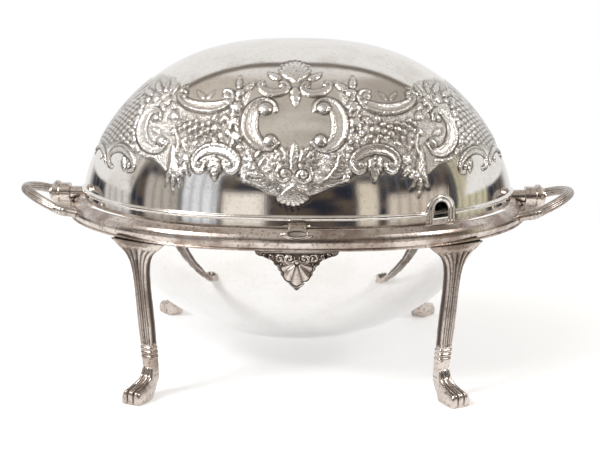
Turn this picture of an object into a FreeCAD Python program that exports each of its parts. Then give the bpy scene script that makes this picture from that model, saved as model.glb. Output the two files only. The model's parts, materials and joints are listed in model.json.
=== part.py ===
import FreeCAD, Part
import math
import os

# A revolving breakfast dish.  An oval ring on four paw-footed legs carries two end bearings.  A fixed
# bowl hangs on the two pivot pins, and a domed cover turns on the same pins, outside and under the bowl.
# A liner rests on the bowl's rim, and a pierced drainer rests in the liner.
# +X runs along the dish, -Y is the front, +Z is up.  Solids are drawn about the cover's axis, and the
# last step lifts them by AXIS_HEIGHT, so the feet stand on z = 0.  All lengths are in millimetres.

V = FreeCAD.Vector
X_AXIS = V(1, 0, 0)
Z_AXIS = V(0, 0, 1)
ORIGIN = V(0, 0, 0)
FAR = 400.0

# Driving dimensions
AXIS_HEIGHT = 116.5       # the cover's axis above the floor
OVAL_LONG_POWER = 2.55    # fullness of the cover's and ring's oval along X
OVAL_WIDE_POWER = 1.55    # and across it

COVER_LENGTH = 150.0      # half length of the cover, outside
COVER_RADIUS = 109.0      # its largest radius about the axis, outside
SHEET = 1.0               # sheet thickness of cover, bowl and liner
COVER_SKIRT = 2.6         # how far the cover's edge reaches below the axis
BEAD_RADIUS = 1.75        # half-round moulding round the cover
BEAD_HEIGHT = 4.2

NOTCH_X = 91.5            # spoon notch in the cover's edge
NOTCH_TURN = 32.0         # degrees its face is turned from the front
NOTCH_WIDTH = 12.0
NOTCH_TOP = 11.7
NOTCH_BORDER_WIDTH = 23.0
NOTCH_BORDER_TOP = 16.1
NOTCH_BORDER_PROUD = 1.2

TAB_NECK = 12.0           # thumb tab on the cover's front edge
TAB_WIDTH = 20.6
TAB_REACH = 120.9

RING_LENGTH = 153.6       # half length of the ring, inside
RING_WIDTH = 113.0        # half width, inside
RING_TOP = -2.0
RING_BOTTOM = -14.9

BOWL_LENGTH = 134.5       # half length of the bowl, outside
BOWL_RADIUS = 101.5
BOWL_RIM = -1.2
RIM_WIRE = 1.2            # radius of the wires that stiffen the bowl's and liner's rims

PIN_RADIUS = 3.0          # pivot pin, fixed in the bearing and the bowl's boss
RUNNING_GAP = 0.05        # radial clearance of the cover's hub on the pin
HUB_RADIUS = 4.5
HUB_START = 144.2
HUB_END = 159.6
HUB_FLANGE_RADIUS = 8.0
HUB_FLANGE = 1.6
SADDLE_RADIUS = 5.2       # hollow in the ring's ends under the hub
BEARING_RADIUS = 6.9
BEARING_START = 160.0
BEARING_END = 167.0
BEARING_POST_WIDTH = 9.0
NUT_RADIUS = 8.3
NUT_END = 173.5
NUT_CAP = 2.0
BOSS_START = 130.0
BOSS_END = 143.0
BOSS_RADIUS = 8.0
WASHER = 0.8
WASHER_RADIUS = 6.5

HANDLE_REACH = 194.5      # outer end of a handle from the middle
HANDLE_WIDTH = 6.4
HANDLE_HEIGHT = 5.4

LEG_X = 101.5             # centre of a leg's top under the ring
LEG_Y = 91.3
LEG_TURN = 30.0           # degrees a leg's face is turned from the front
LEG_LEAN = -8.6           # sideways lean of a leg from its top to its ankle
ANKLE_HEIGHT = 20.6
TOE_LENGTH = 22.8
FOOT_WIDTH = 13.4

APRON_FACE = 118.9        # front of the apron plate, from the middle
APRON_THICKNESS = 2.6

LINER_LENGTH = 127.0      # liner, half sizes of the dish
LINER_WIDTH = 99.0
LINER_DEPTH = 52.0
LINER_FLAT = 44.0         # depth at which the liner's bottom is flat
LINER_SEAT = 0.3          # underside of its flange above the axis
FLANGE_LENGTH = 129.5
FLANGE_WIDTH = 103.0
FLANGE = 1.2

DRAINER_LENGTH = 115.4
DRAINER_WIDTH = 89.7
DRAINER_SEAT = -20.0
DRAINER_THICKNESS = 1.2
DRAINER_HOLE = 2.4        # radius
DRAINER_PITCH = 15.0
DRAINER_LOOP_X = 70.0
DRAINER_LOOP_RADIUS = 11.0
DRAINER_LOOP_WIRE = 1.6


def save(name, shape):
    """Lifts a solid to its place above the floor and writes it as its own part."""
    solids = shape.Solids
    assert len(solids) == 1, (name, len(solids))
    piece = solids[0].copy()
    piece.translate(V(0, 0, AXIS_HEIGHT))
    assert piece.isValid(), name
    piece.exportStep("parts/%s.step" % name)


def oval_radius(x, length, radius):
    """Half width at x of the oval shared by the cover and the ring."""
    share = min(1.0, abs(x) / length)
    return radius * (1.0 - share ** OVAL_LONG_POWER) ** (1.0 / OVAL_WIDE_POWER)


def oval_loop(length, width, z=0.0, steps=20):
    """Closed plan curve of the oval, starting at the front."""
    points = []
    for i in range(4 * steps):
        turn = i * math.pi / (2 * steps)
        x = length * math.sin(turn)
        y = -math.copysign(oval_radius(x, length, width), math.cos(turn))
        points.append(V(x, y, z))
    curve = Part.BSplineCurve()
    curve.interpolate(Points=points, PeriodicFlag=True)
    return Part.Wire([curve.toShape()])


def oval_body(length, radius, steps=24):
    """Solid made by turning half the oval about the X axis."""
    points = []
    for i in range(2 * steps + 1):
        turn = math.pi * (i / (2 * steps) - 0.5)
        x = length * math.sin(turn)
        points.append(V(x, 0, -oval_radius(x, length, radius)))
    curve = Part.BSplineCurve()
    curve.interpolate(Points=points)
    profile = Part.Wire([curve.toShape(), Part.makeLine(points[-1], points[0])])
    return Part.Face(profile).revolve(ORIGIN, X_AXIS, 360)


def ellipse_body(length, radius):
    """Ellipsoid of revolution about the X axis."""
    half = Part.Ellipse(ORIGIN, length, radius)
    arc = Part.Arc(half, math.pi, 2 * math.pi).toShape()
    chord = Part.makeLine(V(length, 0, 0), V(-length, 0, 0))
    return Part.Face(Part.Wire([arc, chord])).revolve(ORIGIN, X_AXIS, 360)


def dish_body(length, width, depth, z_low, z_high, steps=8):
    """Solid oval dish, cut from the lower half of an ellipsoid between two heights."""
    sections = []
    for i in range(steps + 1):
        z = z_low + (z_high - z_low) * i / steps
        share = math.sqrt(1.0 - min(0.0, z / depth) ** 2)
        sections.append(Part.Wire([Part.Ellipse(V(0, 0, z), length * share, width * share).toShape()]))
    return Part.makeLoft(sections, True, False)


def ellipse_plate(length, width, z, thickness):
    """Flat elliptical plate with its underside at z."""
    edge = Part.Ellipse(V(0, 0, z), length, width).toShape()
    return Part.Face(Part.Wire([edge])).extrude(V(0, 0, thickness))


def slab(z_low, z_high):
    """Everything between two heights."""
    return Part.makeBox(2 * FAR, 2 * FAR, z_high - z_low, V(-FAR, -FAR, z_low))


def x_cylinder(radius, x_start, x_end):
    """Round bar along the axis, between two places."""
    return Part.makeCylinder(radius, x_end - x_start, V(x_start, 0, 0), X_AXIS)


def turned(outline):
    """Solid turned about the X axis from (x, radius) corners."""
    points = [V(x, 0, radius) for x, radius in outline]
    return Part.Face(Part.makePolygon(points + points[:1])).revolve(ORIGIN, X_AXIS, 360)


def mirrored_x(shape):
    """The same solid at the dish's other end."""
    return shape.mirror(ORIGIN, X_AXIS)


def mirrored_y(shape):
    """The same solid at the dish's other side."""
    return shape.mirror(ORIGIN, V(0, 1, 0))


def swept(path, profile):
    """Profile carried round a path, kept upright."""
    pipe = Part.BRepOffsetAPI.MakePipeShell(path)
    pipe.setBiNormalMode(Z_AXIS)
    pipe.add(profile)
    pipe.build()
    pipe.makeSolid()
    return Part.Solid(pipe.shape())


def spline(points):
    """Smooth edge through points."""
    curve = Part.BSplineCurve()
    curve.interpolate(Points=points)
    return curve.toShape()


def arch_prism(width, top, bottom, turn, x, y, depth):
    """Round-topped block whose face is turned from the front, centred on the point (x, y)."""
    half = width / 2
    shoulder = top - half
    left_low = V(-half, 0, bottom)
    left_high = V(-half, 0, shoulder)
    right_high = V(half, 0, shoulder)
    right_low = V(half, 0, bottom)
    edges = [
        Part.makeLine(left_low, left_high),
        Part.Arc(left_high, V(0, 0, top), right_high).toShape(),
        Part.makeLine(right_high, right_low),
        Part.makeLine(right_low, left_low),
    ]
    block = Part.Face(Part.Wire(edges)).extrude(V(0, 2 * depth, 0))
    block.translate(V(0, -depth, 0))
    block.rotate(ORIGIN, Z_AXIS, turn)
    block.translate(V(x, y, 0))
    return block


# Ring
def ring_profile():
    """Cross-section at the front: sloping ledge, rounded face, groove and a small bead below."""
    front = -RING_WIDTH

    def at(out, z):
        return V(0, front - out, z)

    face_low = at(6.0, -12.9)
    bead_high = at(5.7, -13.3)
    bead_low = at(5.4, RING_BOTTOM)
    edges = [
        Part.makeLine(at(0, -13.8), at(0, -2.6)),
        Part.makeLine(at(0, -2.6), at(0.8, RING_TOP)),
        Part.makeLine(at(0.8, RING_TOP), at(1.8, -2.3)),
        Part.makeLine(at(1.8, -2.3), at(5.3, -4.8)),
        Part.Arc(at(5.3, -4.8), at(7.0, -9.6), face_low).toShape(),
        Part.makeLine(face_low, bead_high),
        Part.Arc(bead_high, at(6.5, -14.1), bead_low).toShape(),
        Part.makeLine(bead_low, at(1.0, RING_BOTTOM)),
        Part.makeLine(at(1.0, RING_BOTTOM), at(0, -13.8)),
    ]
    return Part.Wire(edges)


ring = swept(oval_loop(RING_LENGTH, RING_WIDTH), ring_profile())
ring = ring.cut(x_cylinder(SADDLE_RADIUS, -FAR, FAR))
save("ring", ring)


# Cover
cover_outside = oval_body(COVER_LENGTH, COVER_RADIUS)
cover_inside = oval_body(COVER_LENGTH - SHEET, COVER_RADIUS - SHEET)
above_skirt = slab(-COVER_SKIRT, FAR)
notch_y = -oval_radius(NOTCH_X, COVER_LENGTH, COVER_RADIUS)
notch_cut = arch_prism(NOTCH_WIDTH, NOTCH_TOP, -30, NOTCH_TURN, NOTCH_X, notch_y, 15)
border_block = arch_prism(NOTCH_BORDER_WIDTH, NOTCH_BORDER_TOP, -30, NOTCH_TURN, NOTCH_X, notch_y, 15)
hub_space = x_cylinder(HUB_RADIUS, -FAR, FAR)

cover_shell = cover_outside.cut(cover_inside).common(above_skirt).cut(hub_space).cut(notch_cut)
save("cover_shell", cover_shell)

border_space = oval_body(COVER_LENGTH + NOTCH_BORDER_PROUD, COVER_RADIUS + NOTCH_BORDER_PROUD)
notch_border = border_block.cut(notch_cut).common(border_space).cut(cover_outside).common(above_skirt)
save("notch_border", notch_border)

bead_circle = Part.makeCircle(BEAD_RADIUS, V(0, -COVER_RADIUS, BEAD_HEIGHT), X_AXIS)
cover_bead = swept(oval_loop(COVER_LENGTH, COVER_RADIUS, BEAD_HEIGHT), Part.Wire([bead_circle]))
cover_bead = cover_bead.cut(cover_outside).cut(hub_space).cut(border_block)
save("cover_bead", cover_bead)


def thumb_tab():
    """Lug that starts on the cover's skirt and curls down over the ring's front edge."""
    top = [(-107, 1.7), (-112.5, 0.6), (-117, -1.3), (-119.8, -3.6), (-TAB_REACH, -7.0)]
    bottom = [(-119.7, -7.0), (-118.7, -4.3), (-116.5, -2.6), (-112.5, -0.9), (-107, 0.2)]
    side = [
        spline([V(-TAB_WIDTH, y, z) for y, z in top]),
        Part.makeLine(V(-TAB_WIDTH, *top[-1]), V(-TAB_WIDTH, *bottom[0])),
        spline([V(-TAB_WIDTH, y, z) for y, z in bottom]),
        Part.makeLine(V(-TAB_WIDTH, *bottom[-1]), V(-TAB_WIDTH, *top[0])),
    ]
    strip = Part.Face(Part.Wire(side)).extrude(V(2 * TAB_WIDTH, 0, 0))
    half_neck = TAB_NECK / 2
    half_width = TAB_WIDTH / 2
    flare = [(half_neck, -105), (half_neck, -112), (half_neck + 1.5, -115.2), (half_width, -117.6)]
    right_side = spline([V(x, y, -20) for x, y in flare])
    left_side = spline([V(-x, y, -20) for x, y in reversed(flare)])
    end = Part.Arc(V(half_width, -117.6, -20), V(0, -TAB_REACH - 0.1, -20), V(-half_width, -117.6, -20))
    back = Part.makeLine(V(-half_neck, -105, -20), V(half_neck, -105, -20))
    plan = Part.Face(Part.Wire([right_side, end.toShape(), left_side, back])).extrude(V(0, 0, 40))
    return strip.common(plan).cut(cover_outside)


save("thumb_tab", thumb_tab())


# Pivots, made at the right end and mirrored
bore = x_cylinder(PIN_RADIUS, 0, FAR)
hub_bore = x_cylinder(PIN_RADIUS + RUNNING_GAP, 0, FAR)
bowl_outside = ellipse_body(BOWL_LENGTH, BOWL_RADIUS)
bowl_inside = ellipse_body(BOWL_LENGTH - SHEET, BOWL_RADIUS - SHEET)

cover_hub = x_cylinder(HUB_RADIUS, HUB_START, HUB_END)
hub_flange = x_cylinder(HUB_FLANGE_RADIUS, HUB_START, HUB_START + HUB_FLANGE)
cover_hub = cover_hub.fuse(hub_flange).cut(hub_bore).removeSplitter()

bearing = x_cylinder(BEARING_RADIUS, BEARING_START, BEARING_END)
post_start = RING_LENGTH + 1.5
bearing_post = Part.makeBox(
    BEARING_END - post_start, BEARING_POST_WIDTH, -RING_BOTTOM - HUB_RADIUS - 1.5,
    V(post_start, -BEARING_POST_WIDTH / 2, RING_BOTTOM))
bearing_web = Part.makeBox(
    BEARING_END - BEARING_START, BEARING_POST_WIDTH, HUB_RADIUS + 2,
    V(BEARING_START, -BEARING_POST_WIDTH / 2, -HUB_RADIUS - 2))
bearing = bearing.fuse([bearing_post, bearing_web]).cut(ring).cut(bore).removeSplitter()

pivot_pin = x_cylinder(PIN_RADIUS, BOSS_START + 4, BEARING_END + 3)

end_nut = turned([
    (BEARING_END, 0), (BEARING_END, NUT_RADIUS - 0.8), (BEARING_END + 0.8, NUT_RADIUS),
    (NUT_END - 3.4, NUT_RADIUS), (NUT_END - 1.2, NUT_RADIUS - 2.2), (NUT_END, NUT_RADIUS - 2.6),
    (NUT_END, 3.2), (NUT_END + NUT_CAP * 0.6, 2.8), (NUT_END + NUT_CAP, 0),
])
end_nut = end_nut.cut(pivot_pin)

bowl_boss = turned([
    (BOSS_START, 0), (BOSS_START, BOSS_RADIUS), (BOSS_END - 2, BOSS_RADIUS),
    (BOSS_END, BOSS_RADIUS - 2), (BOSS_END, 0),
])
bowl_boss = bowl_boss.cut(bowl_inside.common(slab(-FAR, BOWL_RIM)))

washer = x_cylinder(WASHER_RADIUS, BOSS_END + 0.1, BOSS_END + 0.1 + WASHER).cut(bore)

for end, flip in (("right", None), ("left", mirrored_x)):
    pieces = {
        "cover_hub": cover_hub,
        "bearing": bearing,
        "pivot_pin": pivot_pin,
        "end_nut": end_nut,
        "bowl_boss": bowl_boss.cut(pivot_pin),
        "washer": washer,
    }
    for name, shape in pieces.items():
        save("%s_%s" % (name, end), flip(shape) if flip else shape)


# Bowl and its rim wire
boss_pair = bowl_boss.fuse(mirrored_x(bowl_boss))
bowl = bowl_outside.cut(bowl_inside).common(slab(-FAR, BOWL_RIM)).cut(boss_pair)
save("bowl", bowl)

wire_path = Part.Wire([Part.Ellipse(V(0, 0, BOWL_RIM), BOWL_LENGTH, BOWL_RADIUS).toShape()])
wire_start = wire_path.Edges[0].valueAt(wire_path.Edges[0].FirstParameter)
wire_tangent = wire_path.Edges[0].tangentAt(wire_path.Edges[0].FirstParameter)
rim_wire = swept(wire_path, Part.Wire([Part.makeCircle(RIM_WIRE, wire_start, wire_tangent)]))
bowl_body = bowl_outside.common(slab(-FAR, BOWL_RIM))
boss_space = x_cylinder(BOSS_RADIUS, BOSS_START, BOSS_END)
rim_wire = rim_wire.cut(bowl_body).cut(boss_space).cut(mirrored_x(boss_space))
for side, half_space in (("front", -1), ("rear", 1)):
    block = Part.makeBox(2 * FAR, FAR, 2 * FAR, V(-FAR, -FAR if half_space < 0 else 0, -FAR))
    save("bowl_rim_wire_%s" % side, rim_wire.common(block))


# Handles: loops from the ring's ends, rising outwards
def handle():
    """Oval bar bent in a loop round the end of the pivot."""
    reach = HANDLE_REACH - HANDLE_WIDTH / 2
    front = [(150, -32.5, -9.0), (163, -29.5, -6.6), (175, -23.6, -2.4), (185.5, -14.4, 1.6)]
    back = [(x, -y, z) for x, y, z in reversed(front)]
    path = Part.Wire([spline([V(*p) for p in front + [(reach, 0, 3.4)] + back])])
    start = path.Edges[0].valueAt(path.Edges[0].FirstParameter)
    section = Part.Ellipse(start, HANDLE_WIDTH / 2, HANDLE_HEIGHT / 2).toShape()
    section.rotate(start, V(1, 0, 0), 90)
    heading = path.Edges[0].tangentAt(path.Edges[0].FirstParameter)
    section.rotate(start, Z_AXIS, 90 + math.degrees(math.atan2(heading.y, heading.x)))
    return swept(path, Part.Wire([section]))


handle_solid = handle().cut(Part.makeBox(FAR, FAR, 40, V(RING_LENGTH - FAR, -FAR / 2, -20)))
handle_solid = handle_solid.cut(ring)
handle_solid = max(handle_solid.Solids, key=lambda s: s.Volume)
save("handle_right", handle_solid)
save("handle_left", mirrored_x(handle_solid))


# Legs
def leg_section(width, thickness, z, side_step):
    """Oval cross-section of a leg; side_step moves it along the ring."""
    long_half = max(width, thickness) / 2
    short_half = min(width, thickness) / 2
    return Part.Wire([Part.Ellipse(V(side_step, 0, z), long_half, short_half).toShape()])


def leg():
    """Leg drawn with its face to the front, centred under the ring, then turned and placed."""
    ankle = ANKLE_HEIGHT - AXIS_HEIGHT
    top = RING_BOTTOM
    rows = [
        (42.0, 6.6, top), (34.0, 6.8, top - 3.2), (19.5, 7.0, top - 9.0), (13.8, 7.2, top - 14.6),
        (11.2, 7.4, top - 22.0), (10.3, 7.6, top - 33.0), (10.6, 7.8, top - 54.0),
        (9.7, 7.6, top - 67.0), (9.4, 7.4, ankle),
    ]
    sections = []
    for width, thickness, z in rows:
        sections.append(leg_section(width, thickness, z, LEG_LEAN * (top - z) / (top - ankle)))
    shaft = Part.makeLoft(sections, True, False)

    floor = -AXIS_HEIGHT
    side = [(-3.7, ankle), (-4.4, floor + 13), (-1.4, floor + 5.4), (5.5, floor), (TOE_LENGTH - 0.8, floor),
            (TOE_LENGTH, floor + 4.6), (TOE_LENGTH - 1.6, floor + 8.6), (13.0, floor + 11.2),
            (6.6, floor + 14.6), (3.7, ankle)]
    rounded = [
        spline([V(0, -n, z) for n, z in side[0:4]]),
        Part.makeLine(V(0, -side[3][0], side[3][1]), V(0, -side[4][0], side[4][1])),
        spline([V(0, -n, z) for n, z in side[4:]]),
        Part.makeLine(V(0, -side[-1][0], side[-1][1]), V(0, -side[0][0], side[0][1])),
    ]
    foot_side = Part.Face(Part.Wire(rounded)).extrude(V(FAR, 0, 0))
    foot_side.translate(V(-FAR / 2, 0, 0))
    half = FOOT_WIDTH / 2
    plan = [(-4.7, 5.5), (-4.8, -3.0), (-half + 0.5, -12.0), (-half, -TOE_LENGTH + 5)]
    tip = Part.Arc(V(-half, -TOE_LENGTH + 5, floor), V(0, -TOE_LENGTH, floor),
                   V(half, -TOE_LENGTH + 5, floor)).toShape()
    left = spline([V(x, y, floor) for x, y in plan])
    right = spline([V(-x, y, floor) for x, y in reversed(plan)])
    heel = Part.makeLine(V(4.7, 5.5, floor), V(-4.7, 5.5, floor))
    foot_plan = Part.Face(Part.Wire([left, tip, right, heel])).extrude(V(0, 0, 30))
    foot = foot_side.common(foot_plan)
    foot.translate(V(LEG_LEAN, 0, 0))
    whole = shaft.fuse(foot)
    whole.rotate(ORIGIN, Z_AXIS, LEG_TURN)
    whole.translate(V(LEG_X, -LEG_Y, 0))
    return whole


front_right_leg = leg()
for side, flip_y in (("front", False), ("rear", True)):
    for end, flip_x in (("right", False), ("left", True)):
        piece = front_right_leg
        piece = mirrored_y(piece) if flip_y else piece
        piece = mirrored_x(piece) if flip_x else piece
        save("leg_%s_%s" % (side, end), piece)


# Aprons: palmette plates under the ring's middle
def apron():
    """Plate with concave sides that runs down to a point."""
    drop = [(26, RING_BOTTOM), (25.4, RING_BOTTOM - 2.4), (17, RING_BOTTOM - 5.2),
            (12.6, RING_BOTTOM - 10), (8.8, RING_BOTTOM - 17), (0, RING_BOTTOM - 24.7)]
    right = spline([V(x, -APRON_FACE, z) for x, z in drop])
    left = spline([V(-x, -APRON_FACE, z) for x, z in reversed(drop)])
    top_edge = Part.makeLine(V(-26, -APRON_FACE, RING_BOTTOM), V(26, -APRON_FACE, RING_BOTTOM))
    return Part.Face(Part.Wire([right, left, top_edge])).extrude(V(0, APRON_THICKNESS, 0))


front_apron = apron()
save("apron_front", front_apron)
save("apron_rear", mirrored_y(front_apron))


# Liner: flat-bottomed oval dish with a flange that rests on the bowl's rim
liner_top = LINER_SEAT + FLANGE
liner_outside = dish_body(LINER_LENGTH, LINER_WIDTH, LINER_DEPTH, -LINER_FLAT, LINER_SEAT)
liner_inside = dish_body(
    LINER_LENGTH - SHEET, LINER_WIDTH - SHEET, LINER_DEPTH - SHEET, SHEET - LINER_FLAT, liner_top + 0.5)
flange = ellipse_plate(FLANGE_LENGTH, FLANGE_WIDTH, LINER_SEAT, FLANGE)
liner = liner_outside.fuse(flange).cut(liner_inside)
save("liner", liner)

edge_z = liner_top + 0.9
edge_path = Part.Wire([Part.Ellipse(V(0, 0, edge_z), FLANGE_LENGTH - 1, FLANGE_WIDTH - 1).toShape()])
edge_start = edge_path.Edges[0].valueAt(edge_path.Edges[0].FirstParameter)
edge_tangent = edge_path.Edges[0].tangentAt(edge_path.Edges[0].FirstParameter)
liner_rim_wire = swept(edge_path, Part.Wire([Part.makeCircle(1.0, edge_start, edge_tangent)]))
save("liner_rim_wire", liner_rim_wire.cut(flange))


# Drainer: pierced oval plate with an edge wire and two finger loops
def drainer_holes():
    """Rows of round holes, offset row by row, inside the plate's plain border."""
    holes = []
    row_pitch = DRAINER_PITCH * math.sqrt(3) / 2
    rows = int(DRAINER_WIDTH / row_pitch)
    columns = int(DRAINER_LENGTH / DRAINER_PITCH) + 1
    for row in range(-rows, rows + 1):
        for column in range(-columns, columns + 1):
            x = (column + 0.5 * (row % 2)) * DRAINER_PITCH
            y = row * row_pitch
            inside = (x / (DRAINER_LENGTH - 8)) ** 2 + (y / (DRAINER_WIDTH - 8)) ** 2 < 1
            near_loop = abs(abs(x) - DRAINER_LOOP_X) < 5 and abs(y) < DRAINER_LOOP_RADIUS + 5
            if inside and not near_loop:
                holes.append(Part.makeCylinder(DRAINER_HOLE, 6, V(x, y, DRAINER_SEAT - 2)))
    return holes


plate = ellipse_plate(DRAINER_LENGTH, DRAINER_WIDTH, DRAINER_SEAT, DRAINER_THICKNESS)
save("drainer_plate", plate.cut(drainer_holes()))

plate_top = DRAINER_SEAT + DRAINER_THICKNESS
rim_path = Part.Wire([Part.Ellipse(V(0, 0, plate_top), DRAINER_LENGTH - 1.4, DRAINER_WIDTH - 1.4).toShape()])
rim_start = rim_path.Edges[0].valueAt(rim_path.Edges[0].FirstParameter)
rim_tangent = rim_path.Edges[0].tangentAt(rim_path.Edges[0].FirstParameter)
drainer_rim = swept(rim_path, Part.Wire([Part.makeCircle(1.4, rim_start, rim_tangent)]))
save("drainer_rim", drainer_rim.common(slab(plate_top, FAR)))


def drainer_loop(x):
    """Upright half ring whose two ends stand on the plate."""
    foot_y = DRAINER_LOOP_RADIUS
    straight = 6.0
    low_front = V(x, -foot_y, plate_top)
    high_front = V(x, -foot_y, plate_top + straight)
    crown = V(x, 0, plate_top + straight + DRAINER_LOOP_RADIUS)
    high_rear = V(x, foot_y, plate_top + straight)
    low_rear = V(x, foot_y, plate_top)
    path = Part.Wire([
        Part.makeLine(low_front, high_front),
        Part.Arc(high_front, crown, high_rear).toShape(),
        Part.makeLine(high_rear, low_rear),
    ])
    section = Part.Wire([Part.makeCircle(DRAINER_LOOP_WIRE, low_front, Z_AXIS)])
    return path.makePipeShell([section], True, True)


save("drainer_loop_right", drainer_loop(DRAINER_LOOP_X))
save("drainer_loop_left", drainer_loop(-DRAINER_LOOP_X))
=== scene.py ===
"""Looks of a revolving breakfast dish in silver plate: chased cover, polished bowl, reeded legs."""

import json
import math

import bpy
import numpy as np
from mathutils import Euler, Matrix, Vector

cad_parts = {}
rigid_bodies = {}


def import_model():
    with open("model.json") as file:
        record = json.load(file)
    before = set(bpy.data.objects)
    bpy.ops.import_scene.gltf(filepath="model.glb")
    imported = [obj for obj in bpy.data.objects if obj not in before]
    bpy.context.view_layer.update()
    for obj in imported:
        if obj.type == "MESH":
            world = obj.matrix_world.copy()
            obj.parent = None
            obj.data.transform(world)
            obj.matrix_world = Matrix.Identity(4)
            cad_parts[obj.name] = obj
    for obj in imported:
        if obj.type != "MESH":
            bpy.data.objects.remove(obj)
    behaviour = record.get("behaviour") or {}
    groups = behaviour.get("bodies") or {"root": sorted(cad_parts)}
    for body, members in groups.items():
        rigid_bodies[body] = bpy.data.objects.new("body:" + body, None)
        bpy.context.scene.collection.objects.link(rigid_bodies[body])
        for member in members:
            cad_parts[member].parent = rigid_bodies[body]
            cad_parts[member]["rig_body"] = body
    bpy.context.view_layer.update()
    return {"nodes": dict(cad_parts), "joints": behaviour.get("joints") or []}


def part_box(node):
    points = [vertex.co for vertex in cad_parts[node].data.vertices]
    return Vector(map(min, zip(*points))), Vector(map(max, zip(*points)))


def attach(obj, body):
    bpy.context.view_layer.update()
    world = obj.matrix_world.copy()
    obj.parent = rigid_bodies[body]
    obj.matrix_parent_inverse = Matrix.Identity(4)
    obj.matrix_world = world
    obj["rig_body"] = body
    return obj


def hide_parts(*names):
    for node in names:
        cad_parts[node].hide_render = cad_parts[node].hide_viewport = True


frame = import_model()

MM = 0.001
NODES = frame["nodes"]
BODY_OF = {node: node_object["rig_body"] for node, node_object in NODES.items()}
AXIS_HEIGHT = next(j for j in frame["joints"] if j["name"] == "cover_roll")["pos_m"][2] / MM


def node_box(node):
    """Lowest and highest corner of a CAD node in millimetres, with z above the cover's axis."""
    low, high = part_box(node)
    drop = np.array([0, 0, AXIS_HEIGHT])
    return np.array(low) / MM - drop, np.array(high) / MM - drop


# ---------------------------------------------------------------- node graphs


def new_tree(material_or_world):
    """An emptied node tree and a function that adds a node with given settings and inputs."""
    material_or_world.use_nodes = True
    tree = material_or_world.node_tree
    tree.nodes.clear()

    def add(kind, inputs=None, **settings):
        node = tree.nodes.new(kind)
        for name, value in settings.items():
            setattr(node, name, value)
        for key, value in (inputs or {}).items():
            if isinstance(value, bpy.types.NodeSocket):
                tree.links.new(value, node.inputs[key])
            else:
                node.inputs[key].default_value = value
        return node

    return tree, add


def math_node(add, operation, first, second=0.0, clamp=False):
    return add("ShaderNodeMath", {0: first, 1: second}, operation=operation, use_clamp=clamp).outputs[0]


def product(add, first, *others):
    for other in others:
        first = math_node(add, "MULTIPLY", first, other)
    return first


def ramp(add, value, low, high, out_low=0.0, out_high=1.0):
    """value mapped smoothly from low..high to out_low..out_high."""
    inputs = {"Value": value, "From Min": low, "From Max": high, "To Min": out_low, "To Max": out_high}
    return add("ShaderNodeMapRange", inputs, interpolation_type="SMOOTHSTEP").outputs["Result"]


def mix_colour(add, share, first, second, blend_type="MIX"):
    """second over first by share; colours are sockets or RGB tuples."""
    def colour(value):
        return value if isinstance(value, bpy.types.NodeSocket) else (*value, 1.0)
    node = add("ShaderNodeMix", {"Factor": share}, data_type="RGBA", blend_type=blend_type)
    tree = node.id_data
    for socket, value in ((node.inputs[6], colour(first)), (node.inputs[7], colour(second))):
        if isinstance(value, bpy.types.NodeSocket):
            tree.links.new(value, socket)
        else:
            socket.default_value = value
    return node.outputs[2]


# ---------------------------------------------------------------- silver


def noise(add, position, scale, detail=4.0, roughness=0.55, stretch=(1.0, 1.0, 1.0)):
    mapped = add("ShaderNodeMapping", {"Vector": position, "Scale": stretch}).outputs["Vector"]
    inputs = {"Vector": mapped, "Scale": scale, "Detail": detail, "Roughness": roughness}
    return add("ShaderNodeTexNoise", inputs).outputs["Fac"]


def darker(colour, share):
    return tuple(channel * share for channel in colour)


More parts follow.
